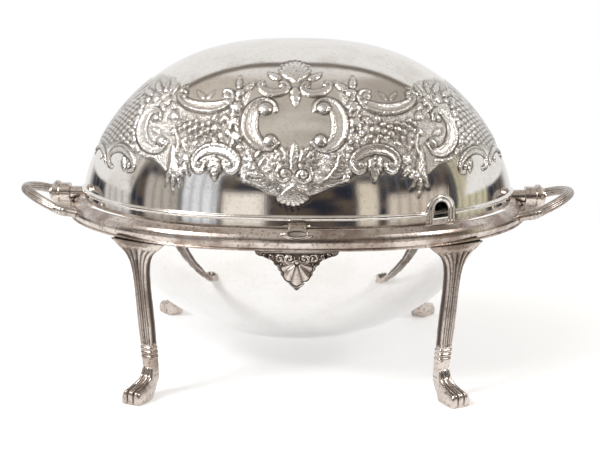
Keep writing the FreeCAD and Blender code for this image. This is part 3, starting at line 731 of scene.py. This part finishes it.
def cover_relief(points, normals):
    """The chasing over a grid of points: height in millimetres, darkness of its recesses as tarnish and
    painted shade, matted ground.
    """
    shape = points.shape[:2]
    flat, flat_normals = points.reshape(-1, 3), normals.reshape(-1, 3)
    angle = np.degrees(np.arctan2(flat[:, 2], -np.abs(flat[:, 1])) % (2 * math.pi))
    worked = np.flatnonzero((flat[:, 2] > 8) & (angle > 3))
    part, part_normals = flat[worked].copy(), flat_normals[worked].copy()
    part[:, 0] -= ORNAMENT_SHIFT * (1 - np.abs(part[:, 0]) / COVER_HALF_LENGTH)
    side = np.sign(part[:, 0]) * 1.3 + np.sign(part[:, 1]) * 2.1
    for column in (0, 1):
        sign = np.sign(part[:, column]) * (1 if column == 0 else -1)
        part[:, column] *= sign
        part_normals[:, column] *= sign
    part += hand_waver(part, side)
    work = Chasing(part, part_normals)
    chase_centre(work)
    chase_middle(work)
    chase_side(work)
    scales, net = scale_pattern(part)
    bare = work.height < 0.05
    work.raise_to(np.arange(len(part)), np.where(bare, scales, 0))
    work.cut(np.arange(len(part)), np.where(bare, net, 0))
    ground = polygon_cover(part[:, 0], part[:, 2], GROUND_OUTLINE, 1.2) * (work.height < 0.12)
    stipple = np.random.default_rng(11).uniform(-1, 1, len(part))
    height = RELIEF_SCALE * (work.height - 0.4 * work.groove) + 0.05 * ground * stipple

    def on_grid(values):
        field = np.zeros(len(flat))
        field[worked] = values
        return soften(field.reshape(shape))
    field, matte, lines = on_grid(height), on_grid(ground), on_grid(work.groove)
    around = field
    for _ in range(7):
        around = soften(around)
    matte = np.maximum(matte, 0.45 * np.clip(2.5 * around, 0, 1))
    # Darker where the surface lies below its blurred surroundings, on the matted ground and along the
    # grooves: tarnish there, and painted shade in the recesses.
    hollow = np.clip((around - field - 0.04) * 2.8, 0, 1) + 0.15 * matte + 0.75 * np.clip(lines, 0, 1)
    return field, np.clip(hollow, 0, 1), matte


def grid_faces(ids):
    """Quads over a grid of point numbers."""
    quads = np.stack([ids[:-1, :-1], ids[1:, :-1], ids[1:, 1:], ids[:-1, 1:]], -1)
    return quads.reshape(-1, 4).tolist()


def rim_faces(outer_line, inner_line, picked, outward):
    """Faces from the outer sheet's edge to the coarser inner one, whose points match the picked ones."""
    faces = []
    for k in range(len(picked) - 1):
        face = list(outer_line[picked[k]:picked[k + 1] + 1]) + [inner_line[k + 1], inner_line[k]]
        faces.append(face if outward else face[::-1])
    return faces


def build_cover():
    x = profile_columns(COLUMN_SPACING)
    notch_edges = NOTCH_X + NOTCH_HALF_WIDTH * math.cos(NOTCH_TURN) * np.array([-1.004, -0.996, 0.996, 1.004])
    x = np.unique(np.concatenate([x, notch_edges]))
    rows = row_angles()
    outer_angle = cover_grid(x, cover_radius(x), rows)
    outer, normals = cover_surface(x, outer_angle, COVER_HALF_LENGTH, COVER_RADIUS)
    relief, hollow, matte = cover_relief(outer, normals)
    outer = outer + normals * relief[..., None]

    near_notch = np.abs(x - NOTCH_X) < NOTCH_HALF_WIDTH
    columns = np.flatnonzero((np.arange(len(x)) % INNER_STRIDE == 0) | near_notch)
    columns = np.unique(np.concatenate([columns, [len(x) - 1]]))
    picked_rows = np.unique(np.concatenate([np.arange(0, len(rows), INNER_STRIDE), [len(rows) - 1]]))
    inner_half_length, inner_radius = COVER_HALF_LENGTH - COVER_WALL, COVER_RADIUS - COVER_WALL
    inner_x = x[columns] * inner_half_length / COVER_HALF_LENGTH
    radius = cover_radius(inner_x, inner_half_length, inner_radius)
    inner_angle = cover_grid(inner_x, radius, rows)[:, picked_rows]
    inner = cover_surface(inner_x, inner_angle, inner_half_length, inner_radius)[0]

    outer_ids = np.arange(outer[..., 0].size).reshape(len(x), len(rows))
    inner_ids = outer_ids.size + np.arange(inner[..., 0].size).reshape(len(columns), len(picked_rows))
    faces = grid_faces(outer_ids) + grid_faces(inner_ids.T)
    for side in (0, -1):
        faces += rim_faces(outer_ids[:, side], inner_ids[:, side], columns, outward=side == -1)
        faces += rim_faces(outer_ids[side], inner_ids[side], picked_rows, outward=side == 0)
    points = np.concatenate([outer.reshape(-1, 3), inner.reshape(-1, 3)])
    piece = add_piece("chased_cover", points, faces, "cover", "chased_plate", ["cover_shell"], 62)
    set_field(piece, "hollow", hollow)
    set_field(piece, "matte", matte)


build_cover()


# ---------------------------------------------------------------- lofted pieces


LEG_TOP = node_box("leg_front_right")[1][2]
LEG_HEIGHT = LEG_TOP + AXIS_HEIGHT
# Width, thickness and distance below the ring of the leg's sections.
LEG_SECTIONS = ((42, 6.6, 0), (34, 6.8, 3.2), (19.5, 7, 9), (13.8, 7.2, 14.6), (11.2, 7.4, 22),
                (10.3, 7.6, 33), (10.6, 7.8, 54), (9.7, 7.6, 67), (9.4, 7.4, 81))
ANKLE = 20.6
LEG_LEAN = -8.6
LEG_TURN = math.radians(30)
LEG_PLACE = (101.5, -91.3)
LEG_BANDS = (26.5, 29.4, 32.3)
FOOT_LENGTH = 22.8
HEEL_BACK = -4.2
HEEL_RISE = 12.5
HEEL_SHARE = 0.37
FOOT_TOP = ((HEEL_BACK, 14.0), (-3.7, ANKLE), (3.6, ANKLE), (6.4, 14.6), (13.0, 11.0), (19.2, 9.4),
            (21.8, 8.6), (FOOT_LENGTH, 6.2))
FOOT_WIDTH = 13.8
REEDS = 6


def leg_shaft():
    """The reeded shaft, its plain cap strip, the three bands and the smooth ankle."""
    widths, thicknesses, drops = np.array(LEG_SECTIONS).T
    heights = np.concatenate([np.linspace(LEG_HEIGHT, LEG_HEIGHT - 24, 40),
                              np.linspace(LEG_HEIGHT - 25, 36, 34),
                              np.linspace(35.4, 23.6, 30), np.linspace(23, 14.5, 12)])
    drop = LEG_HEIGHT - heights
    width = smooth_between(drop, drops, widths)
    thick = smooth_between(drop, drops, thicknesses)
    ring_size = 96
    turn = np.linspace(0, 2 * math.pi, ring_size, endpoint=False)
    power = 0.42
    ux = np.sign(np.cos(turn)) * np.abs(np.cos(turn)) ** power
    uy = np.sign(np.sin(turn)) * np.abs(np.sin(turn)) ** power
    across = np.clip(np.cos(turn), -1, 1)
    spread = np.sign(across) * np.abs(across) ** 0.9
    ux = 0.35 * ux + 0.65 * spread
    cap = 3.4 + 1.4 * np.sqrt(np.clip(1 - (2 * ((across * REEDS / 2 + 0.5) % 1) - 1) ** 2, 0, 1))
    reed = np.abs(np.cos(math.pi * REEDS * (ux + 1) / 2 + math.pi / 2))
    points, hollow = [], []
    for z, w, t, d in zip(heights, width, thick, drop):
        fluted = np.clip((d - cap) / 1.0, 0, 1) * np.clip((z - 34.5) / 1.5, 0, 1)
        depth = 0.95 * fluted * (1 - reed ** 0.62)
        band = sum(0.55 * bump(z, place, 1.0) for place in LEG_BANDS)
        gap = 0.35 * sum(bump(z, place + 1.45, 0.35) for place in LEG_BANDS)
        cap_groove = 0.35 * np.clip(1 - np.abs(d - cap) / 0.7, 0, 1)
        inset = depth - band + gap + cap_groove
        x = ux * (w / 2 - np.abs(across) * inset * 0.6)
        y = uy * (t / 2 - inset)
        lean = LEG_LEAN * min(1, d / (LEG_HEIGHT - ANKLE))
        points.append(np.stack([x + lean, y, np.full(ring_size, z)], -1))
        # Darker in the reeds' flutes, in the gaps under the bands and at the cap groove: tarnish and painted
        # shade in the grooves.
        hollow.append(np.clip(depth * 1.3 + 1.8 * gap + 1.6 * cap_groove - 0.12, 0, 1))
    return np.concatenate(points), np.concatenate(hollow), loft_faces(len(heights), ring_size)


def leg_foot():
    """A paw with three toes on a flat sole."""
    rows, columns = 44, 45
    a = np.linspace(0, 1, rows)[:, None]
    b = np.linspace(-1, 1, columns)[None, :]
    groove = bump(b, -1 / 3, 0.085) + bump(b, 1 / 3, 0.085)
    toe = np.clip((a - 0.35) / 0.5, 0, 1)
    toe_length = FOOT_LENGTH - 1.3 * groove - 0.9 * np.abs(b) ** 4
    heel = HEEL_BACK + 1.6 * b ** 2
    forward = heel + (toe_length - heel) * a
    half_width = (4.7 + (FOOT_WIDTH / 2 - 4.7) * np.clip((a - 0.2) / 0.45, 0, 1) ** 0.8)
    shape_x, shape_z = np.array(FOOT_TOP).T
    behind_toe = np.clip(forward + FOOT_LENGTH - toe_length, HEEL_BACK, FOOT_LENGTH)
    height = smooth_between(behind_toe.ravel(), shape_x, shape_z).reshape(rows, columns)
    height *= (1 - np.abs(b) ** 6 * 0.35) * (1 - 0.3 * groove * toe)
    sideways = b * half_width
    top = np.stack([sideways + 0 * forward, -forward, np.maximum(height, 0.6)], -1).reshape(-1, 3)
    rise = HEEL_RISE * np.clip(1 - a / HEEL_SHARE, 0, 1) ** 1.7 + 0 * b
    sole = top * [0.96, 1, 0]
    sole[:, 2] += np.minimum(rise, height - 0.8).ravel()
    points = np.concatenate([top, sole]) + [LEG_LEAN, 0, 0]
    # Darker in the grooves between the toes: tarnish and painted shade.
    return points, (0.9 * groove * toe).ravel(), sheet_faces(rows, columns)


def build_leg(node, mirror_x, mirror_y):
    shaft, shaft_hollow, shaft_faces = leg_shaft()
    foot, foot_hollow, foot_faces = leg_foot()
    points = np.concatenate([shaft, foot])
    faces = shaft_faces + [tuple(k + len(shaft) for k in face) for face in foot_faces]
    cos, sin = math.cos(LEG_TURN), math.sin(LEG_TURN)
    x = cos * points[:, 0] - sin * points[:, 1] + LEG_PLACE[0]
    y = sin * points[:, 0] + cos * points[:, 1] + LEG_PLACE[1]
    if mirror_x != mirror_y:
        faces = [tuple(reversed(face)) for face in faces]
    x *= -1 if mirror_x else 1
    y *= -1 if mirror_y else 1
    placed = np.stack([x, y, points[:, 2] - AXIS_HEIGHT], -1)
    piece = add_piece("reeded_" + node, placed, faces, BODY_OF[node], "worn_plate", [node], 50)
    set_field(piece, "hollow", np.concatenate([shaft_hollow, foot_hollow]))


for leg_node in ("leg_front_right", "leg_front_left", "leg_rear_right", "leg_rear_left"):
    build_leg(leg_node, leg_node.endswith("left"), "rear" in leg_node)


# ---------------------------------------------------------------- handles

HANDLE_PATH = ((150, -32.5, -9), (163, -29.5, -6.6), (175, -23.6, -2.4), (185.2, -14.4, 1.6), (190.8, 0, 3.4),
               (185.2, 14.4, 1.6), (175, 23.6, -2.4), (163, 29.5, -6.6), (150, 32.5, -9))
HANDLE_SECTION = (7.3, 6.6)
HANDLE_REEDS = 14


def build_handle(node, mirror_x):
    """A loop of reeded bar with a bound collar where each end meets the ring."""
    key = np.array(HANDLE_PATH, float)
    length = np.concatenate([[0], np.cumsum(np.linalg.norm(np.diff(key, axis=0), axis=1))])
    along = np.linspace(0, length[-1], 170)
    line = np.stack([smooth_line(along, length, key[:, axis]) for axis in range(3)], -1)
    tangent = np.gradient(line, axis=0)
    tangent /= np.linalg.norm(tangent, axis=1, keepdims=True)
    out = np.cross(tangent, [0, 0, 1.0])
    out /= np.linalg.norm(out, axis=1, keepdims=True)
    up = np.cross(out, tangent)
    ring_size = 84
    turn = np.linspace(0, 2 * math.pi, ring_size, endpoint=False)
    reed = np.abs(np.cos(turn * HANDLE_REEDS / 2))
    end_distance = np.minimum(along, length[-1] - along)
    collar = sum(bump(end_distance, place, 0.9) for place in (9, 11.5, 14))
    swell = 0.28 * bump(end_distance, 11.5, 4) + 0.3 * collar
    plain = np.clip((end_distance - 15) / 3, 0, 1)
    points, hollow = [], []
    for k in range(len(along)):
        depth = 0.34 * (1 - reed) * plain[k]
        a = (HANDLE_SECTION[0] / 2 + swell[k] - depth) * np.cos(turn)
        b = (HANDLE_SECTION[1] / 2 + swell[k] - depth) * np.sin(turn)
        points.append(line[k] + a[:, None] * out[k] + b[:, None] * up[k])
        # Darker in the reeds' grooves and round the collar, between its rings: tarnish and painted shade.
        hollow.append(np.clip(2.4 * depth + 0.6 * bump(end_distance[k], 11.5, 5) * (1 - collar[k]), 0, 1)
                      + 0 * turn)
    points = np.concatenate(points)
    faces = loft_faces(len(along), ring_size)
    if mirror_x:
        points[:, 0] *= -1
    else:
        faces = [tuple(reversed(face)) for face in faces]
    piece = add_piece("reeded_" + node, points, faces, BODY_OF[node], "worn_plate", [node], 60)
    set_field(piece, "hollow", np.concatenate(hollow))


for handle_node in ("handle_right", "handle_left"):
    build_handle(handle_node, handle_node.endswith("left"))


# ---------------------------------------------------------------- aprons

APRON_FACE = -118.9
APRON_THICKNESS = 2.6
# Half width and height of the apron's outline.
APRON_OUTLINE = ((26, -14.9), (25.4, -17.3), (17, -20.1), (12.6, -24.9), (8.8, -31.9), (0.6, -39.6))


def apron_relief(x, z):
    """A shell of rays under two large scrolls, with smaller scrolls towards the corners."""
    x = np.abs(x)
    angle = np.arctan2(x, -(z + 22.0))
    distance = np.hypot(x, z + 22.0)
    rays = np.abs(np.cos(angle * 5.0))
    edge = 14.6 - 6.2 * np.clip(angle / 1.7, 0, 1) - 1.2 * (1 - rays)
    fan = np.where((distance < edge) & (distance > 1.8) & (angle < 1.75), 0.35 + 0.85 * rays ** 0.7, 0.0)
    beading = 0.9 * bump(distance, edge + 1.1, 0.5) * (0.4 + 0.6 * np.abs(np.sin(angle * 10)))
    rim = np.where(angle < 1.75, beading, 0)
    heart = 1.2 * np.sqrt(np.clip(1 - (np.hypot(x, z + 21.6) / 1.7) ** 2, 0, 1))
    height = np.maximum.reduce([fan, rim, heart])
    for cx, cz, size, hand in ((4.6, -19.6, 3.5, 1), (10.4, -19.4, 3.1, -1), (11.6, -24.6, 1.8, 1),
                               (15.6, -18.4, 2.1, 1), (19.6, -17.8, 1.7, -1), (23.2, -16.6, 1.3, 1)):
        from_centre = np.hypot(x - cx, z - cz)
        swirl = hand * np.arctan2(z - cz, x - cx) / (2 * math.pi)
        spiral = np.abs(np.cos(math.pi * (from_centre / size * 1.5 + swirl)))
        height = np.maximum(height, np.where(from_centre < size, 1.15 * spiral ** 0.8, 0))
    strip = np.clip((z + 16.2) / 0.4, 0, 1) * 0.9
    return np.maximum(height, strip)


def build_apron(node, mirror_y):
    widths, heights = np.array(APRON_OUTLINE).T
    rows, columns = 90, 121
    z = np.linspace(heights[0], heights[-1], rows)[:, None]
    u = np.linspace(-1, 1, columns)[None, :]
    half = np.interp(-z, -heights, widths)
    half = half * (1 - 0.07 * np.abs(np.sin(z * 0.95)) * np.clip((-15.6 - z) / 2, 0, 1))
    x = u * half
    relief = apron_relief(x, z)
    front = np.stack([x, APRON_FACE + 0.5 - relief, z + 0 * x], -1).reshape(-1, 3)
    back = np.stack([x, np.full_like(x, APRON_FACE + APRON_THICKNESS), z + 0 * x], -1).reshape(-1, 3)
    points = np.concatenate([front, back])
    faces = sheet_faces(rows, columns)
    if mirror_y:
        points[:, 1] *= -1
        faces = [tuple(reversed(face)) for face in faces]
    piece = add_piece("cast_" + node, points, faces, BODY_OF[node], "worn_plate", [node], 50)
    # Darker on the low ground between the raised work, lighter on the relief: tarnish and painted shade.
    set_field(piece, "hollow", np.clip(0.95 - 0.85 * relief, 0, 1))


build_apron("apron_front", False)
build_apron("apron_rear", True)


# ---------------------------------------------------------------- thumb tab and notch border

# Across the tab's top and underside, from the cover outwards: y and height.
TAB_TOP = ((-107, 1.7), (-112.5, 0.6), (-117, -1.3), (-119.8, -3.6), (-120.9, -7))
TAB_UNDER = ((-107, 0.2), (-112.5, -0.9), (-116.5, -2.6), (-118.7, -4.3), (-119.7, -7))
TAB_NECK = 6.0
TAB_HALF_WIDTH = 10.3


def build_tab():
    """An oval thumb piece on a short neck, with a hollow in its face."""
    rows, columns = 46, 61
    along = np.linspace(0, 1, rows)
    keys = np.linspace(0, 1, len(TAB_TOP))
    top = np.stack([smooth_line(along, keys, np.array(TAB_TOP)[:, axis]) for axis in (0, 1)], -1)
    under = np.stack([smooth_line(along, keys, np.array(TAB_UNDER)[:, axis]) for axis in (0, 1)], -1)
    oval = np.sqrt(np.clip(1 - ((along - 0.72) / 0.29) ** 2, 0, 1))
    neck = TAB_NECK * (1 - 0.12 * np.sin(math.pi * np.clip(along / 0.5, 0, 1)))
    half = np.maximum(TAB_HALF_WIDTH * oval, np.where(along < 0.6, neck, 2.2))
    u = np.linspace(-1, 1, columns)
    x = half[:, None] * u[None, :]
    reach = np.hypot(x / 6.4, (along[:, None] - 0.74) / 0.155)
    dish = 0.75 * np.clip(1 - reach ** 2, 0, 1) ** 0.6 - 0.25 * bump(reach, 1.12, 0.12)
    inward = (under - top) / np.linalg.norm(under - top, axis=1, keepdims=True)
    rounding = 0.5 * np.abs(u) ** 6
    face = np.stack([x, top[:, None, 0] + inward[:, None, 0] * (dish + rounding),
                     top[:, None, 1] + inward[:, None, 1] * (dish + rounding)], -1)
    back = np.stack([x, under[:, None, 0] + 0 * x, under[:, None, 1] + 0 * x], -1)
    points = np.concatenate([face.reshape(-1, 3), back.reshape(-1, 3)])
    faces = sheet_faces(rows, columns)
    piece = add_piece("oval_thumb_tab", points, faces, "cover", "worn_plate", ["thumb_tab"], 45)
    # A dark ring round the thumb dish and a darker dish inside it: tarnish and painted shade.
    set_field(piece, "hollow", np.clip(0.9 * bump(reach, 0.92, 0.12) + 0.35 * (reach < 0.9), 0, 1))


BORDER_HALF_WIDTH = 11.5
BORDER_RISE = 10.4


def build_notch_border():
    """A moulded frame of two beads round the spoon notch."""
    straight = np.linspace(SKIRT_EDGE + 0.3, NOTCH_SHOULDER, 12)[:-1]
    arch = np.linspace(0, math.pi, 61)
    section = np.linspace(0, 1, 33)
    inner, outer = NOTCH_HALF_WIDTH + 0.15, BORDER_HALF_WIDTH
    reach = inner + (outer - inner) * section
    rise = inner + (BORDER_RISE - inner) * section
    across, height = [], []
    for z in straight:
        across.append(reach)
        height.append(np.full_like(section, z))
    for turn in arch:
        across.append(reach * math.cos(turn))
        height.append(NOTCH_SHOULDER + rise * math.sin(turn))
    for z in straight[::-1]:
        across.append(-reach)
        height.append(np.full_like(section, z))
    x = NOTCH_X + np.array(across) * math.cos(NOTCH_TURN)
    z = np.array(height)
    beads = 0.8 * np.abs(np.sin(math.pi * section * 2)) ** 0.8
    surface = on_cover(x, z)
    angle = np.arctan2(z, -surface[..., 1])
    angle = angle.ravel()[:, None]
    normals = cover_surface(x.ravel(), angle, COVER_HALF_LENGTH, COVER_RADIUS)[1].reshape(surface.shape)
    face = surface + normals * (0.2 + beads)[None, :, None]
    back = surface - normals * 0.4
    rows, columns = x.shape
    points = np.concatenate([face.reshape(-1, 3), back.reshape(-1, 3)])
    faces = [tuple(reversed(quad)) for quad in sheet_faces(rows, columns)]
    piece = add_piece("moulded_notch_border", points, faces, "cover", "chased_plate", ["notch_border"], 60)
    # Darker between and beside the beads: tarnish and painted shade.
    set_field(piece, "hollow", 0.6 * np.clip(1 - 1.6 * beads, 0, 1)[None, :] + np.zeros_like(x))
    set_field(piece, "matte", 0)


build_tab()
build_notch_border()


# ---------------------------------------------------------------- studio


CAMERA_LENS = 77.8
CAMERA_X, CAMERA_Y, CAMERA_ABOVE_AXIS = 1.8, -900, 160.7
CAMERA_DOWN = 11.62
CAMERA_ROLL = 0.5


def build_camera():
    """The photograph's view: just under a metre off, a little above the dish, turned a touch."""
    data = bpy.data.cameras.new("camera")
    data.lens = CAMERA_LENS
    data.clip_end = 60
    camera = bpy.data.objects.new("camera", data)
    bpy.context.scene.collection.objects.link(camera)
    camera.location = (CAMERA_X * MM, CAMERA_Y * MM, (AXIS_HEIGHT + CAMERA_ABOVE_AXIS) * MM)
    look_down = Euler((math.radians(90 - CAMERA_DOWN), 0, 0)).to_matrix()
    roll = Euler((0, 0, math.radians(CAMERA_ROLL))).to_matrix()
    camera.rotation_euler = (look_down @ roll).to_euler()
    bpy.context.scene.camera = camera


def window(add, azimuth, elevation, az_range, el_range, soft_az=1.2, soft_el=3.0):
    """1 inside a soft-edged patch of the surroundings, 0 outside it."""
    parts = []
    for value, (low, high), soft in ((azimuth, az_range, soft_az), (elevation, el_range, soft_el)):
        parts.append(ramp(add, value, low - soft, low + soft))
        parts.append(ramp(add, value, high + soft, high - soft))
    return product(add, *parts)


# Lit patches of the surroundings: azimuth from the viewer's side, elevation (degrees), colour.
WINDOWS = (((-50, -29), (-12, 25), (0.88, 0.91, 0.97)), ((-26, -8), (-12, 10), (0.98, 0.92, 0.85)),
           ((-78, -53), (-12, 14), (0.52, 0.48, 0.43)), ((19, 29), (-12, 17), (0.76, 0.69, 0.58)),
           ((34, 76), (-12, 8), (0.72, 0.64, 0.55)), ((84, 112), (-12, 26), (0.66, 0.62, 0.45)),
           ((-116, -90), (-12, 26), (0.75, 0.74, 0.72)), ((-80, -28), (34, 60), (2.3, 2.3, 2.3)),
           ((34, 70), (42, 60), (1.25, 1.2, 1.15)))


def build_world():
    """White behind; a warm diffuser overhead; a darker room with lit windows on the viewer's side."""
    world = bpy.data.worlds.new("studio")
    bpy.context.scene.world = world
    tree, add = new_tree(world)
    direction = add("ShaderNodeTexCoord").outputs["Generated"]
    parts = add("ShaderNodeSeparateXYZ", {"Vector": direction}).outputs
    to_viewer = product(add, parts["Y"], -1.0)
    azimuth = product(add, math_node(add, "ARCTAN2", parts["X"], to_viewer), 180 / math.pi)
    elevation = product(add, math_node(add, "ARCSINE", parts["Z"]), 180 / math.pi)
    aside = math_node(add, "ABSOLUTE", azimuth)
    rise = product(add, math_node(add, "ARCTAN2", parts["Z"], to_viewer), 180 / math.pi)

    mottled = noise(add, direction, 5.0, 3.0)
    room = mix_colour(add, ramp(add, mottled, 0.42, 0.6), (0.02, 0.023, 0.038), (0.11, 0.085, 0.065))
    wall = mix_colour(add, ramp(add, mottled, 0.35, 0.65), (0.46, 0.43, 0.39), (0.66, 0.62, 0.57))
    left_to_right = add("ShaderNodeMapRange", {"Value": parts["X"], "From Min": -0.8, "From Max": 0.8,
                                               "To Min": 1.3, "To Max": 0.7}).outputs["Result"]
    side_shade = ramp(add, aside, 60, 112, 1.0, 0.5)
    wall = mix_colour(add, 1.0, wall, product(add, left_to_right, side_shade), "MULTIPLY")
    colour = mix_colour(add, ramp(add, elevation, 12, 42), room, wall)
    overhead = mix_colour(add, 1.0, (0.56, 0.515, 0.465), left_to_right, "MULTIPLY")
    colour = mix_colour(add, ramp(add, rise, 62, 84), colour, overhead)
    for az_range, el_range, tint in WINDOWS:
        lit = window(add, azimuth, elevation, az_range, el_range)
        colour = mix_colour(add, lit, colour, tint)
    bars = math_node(add, "SINE", product(add, azimuth, 0.95))
    bar_share = product(add, ramp(add, bars, 0.45, 0.9), ramp(add, elevation, 30, 18))
    bar_share = product(add, bar_share, ramp(add, aside, 27, 32))
    colour = mix_colour(add, product(add, bar_share, 0.6), colour, (0.16, 0.17, 0.2))
    behind = math_node(add, "MAXIMUM", ramp(add, rise, 117, 122), ramp(add, aside, 132, 148))
    behind = product(add, behind, ramp(add, rise, 88, 122))
    low_behind = product(add, ramp(add, aside, 132, 148), ramp(add, elevation, 50, 30))
    colour = mix_colour(add, math_node(add, "MAXIMUM", behind, low_behind), colour, (0.92, 0.92, 0.92))
    dark_edge = product(add, ramp(add, rise, 112.5, 115.5), ramp(add, rise, 121, 118.5))
    dark_edge = product(add, dark_edge, ramp(add, elevation, 8, 25))
    colour = mix_colour(add, dark_edge, colour, (0.2, 0.17, 0.145))
    camera_ray = add("ShaderNodeLightPath").outputs["Is Camera Ray"]
    colour = mix_colour(add, camera_ray, colour, (1.0, 1.0, 1.0))
    background = add("ShaderNodeBackground", {"Color": colour, "Strength": 1.0})
    tree.links.new(background.outputs[0], add("ShaderNodeOutputWorld").inputs["Surface"])


FLOOR_RADIUS = 0.56


def build_floor():
    """A plain pale floor, lit almost to white."""
    mesh = bpy.data.meshes.new("floor")
    turns = [2 * math.pi * k / 64 for k in range(64)]
    rim = [(FLOOR_RADIUS * math.cos(turn), FLOOR_RADIUS * math.sin(turn), 0) for turn in turns]
    mesh.from_pydata(rim, [], [tuple(range(len(rim)))])
    floor = bpy.data.objects.new("floor", mesh)
    bpy.context.scene.collection.objects.link(floor)
    material = bpy.data.materials.new("floor")
    tree, add = new_tree(material)
    shader = add("ShaderNodeBsdfPrincipled", {"Base Color": (0.9, 0.9, 0.9, 1), "Roughness": 0.9,
                                              "Emission Color": (1, 1, 1, 1), "Emission Strength": 0.3})
    tree.links.new(shader.outputs[0], add("ShaderNodeOutputMaterial").inputs["Surface"])
    mesh.materials.append(material)


def add_softbox(name, place, size, power, colour=(1, 1, 1)):
    """A square area light that faces the middle of the dish."""
    data = bpy.data.lights.new(name, "AREA")
    data.size = size
    data.energy = power
    data.color = colour
    light = bpy.data.objects.new(name, data)
    bpy.context.scene.collection.objects.link(light)
    light.location = place
    aim = Vector((0, 0, AXIS_HEIGHT * MM)) - Vector(place)
    light.rotation_euler = aim.to_track_quat("-Z", "Y").to_euler()


build_camera()
build_world()
build_floor()
add_softbox("softbox_left", (-1.6, -1.1, 1.7), 0.7, 26)
add_softbox("softbox_right", (1.8, -0.6, 1.5), 0.5, 11)
bpy.context.scene.view_settings.view_transform = "Standard"
